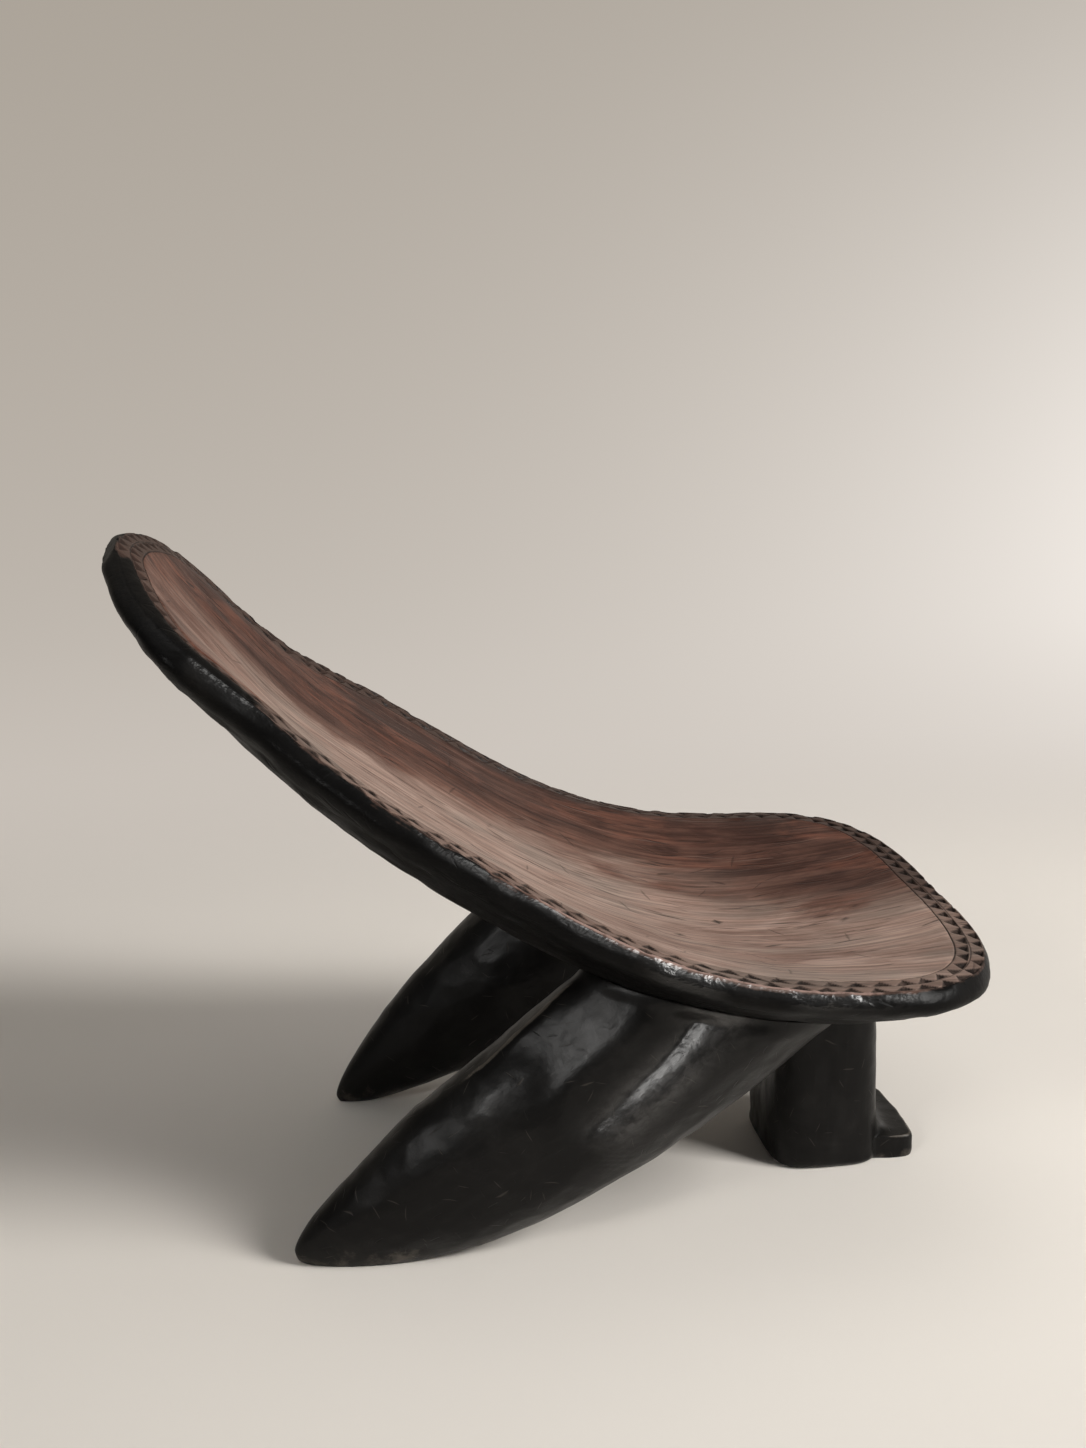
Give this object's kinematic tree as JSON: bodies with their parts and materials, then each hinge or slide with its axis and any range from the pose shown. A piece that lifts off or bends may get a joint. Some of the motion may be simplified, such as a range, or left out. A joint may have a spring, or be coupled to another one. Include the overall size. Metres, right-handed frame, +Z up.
{
  "type": "low wooden lounge chair",
  "caption": "Low carved wooden lounge chair: a dished seat sweeping up into a reclined back with a flat rim, on tusk-shaped rear legs and a footed front column.",
  "frame": {"origin": "on the floor, under the middle of the chair's overall box", "axes": "+X from the top of the back towards the front edge of the seat, +Y to the sitter's left, +Z up"},
  "size_m": [0.88, 0.5886, 0.6996],
  "materials": {
    "seat_wood": "worn, hand-polished brown top with a blackened edge and underside",
    "leg_wood": "blackened, tool-marked and burnished to a semi-gloss",
    "tenon_wood": "raw hardwood"
  },
  "bodies": {
    "root": {"seat_dish": "seat_wood", "rear_leg_right": "leg_wood", "rear_leg_left": "leg_wood", "front_leg": "leg_wood", "rear_leg_right_tenon_rear": "tenon_wood", "rear_leg_right_tenon_front": "tenon_wood", "rear_leg_left_tenon_rear": "tenon_wood", "rear_leg_left_tenon_front": "tenon_wood", "front_leg_tenon_right": "tenon_wood", "front_leg_tenon_left": "tenon_wood"}
  },
  "joints": []
}
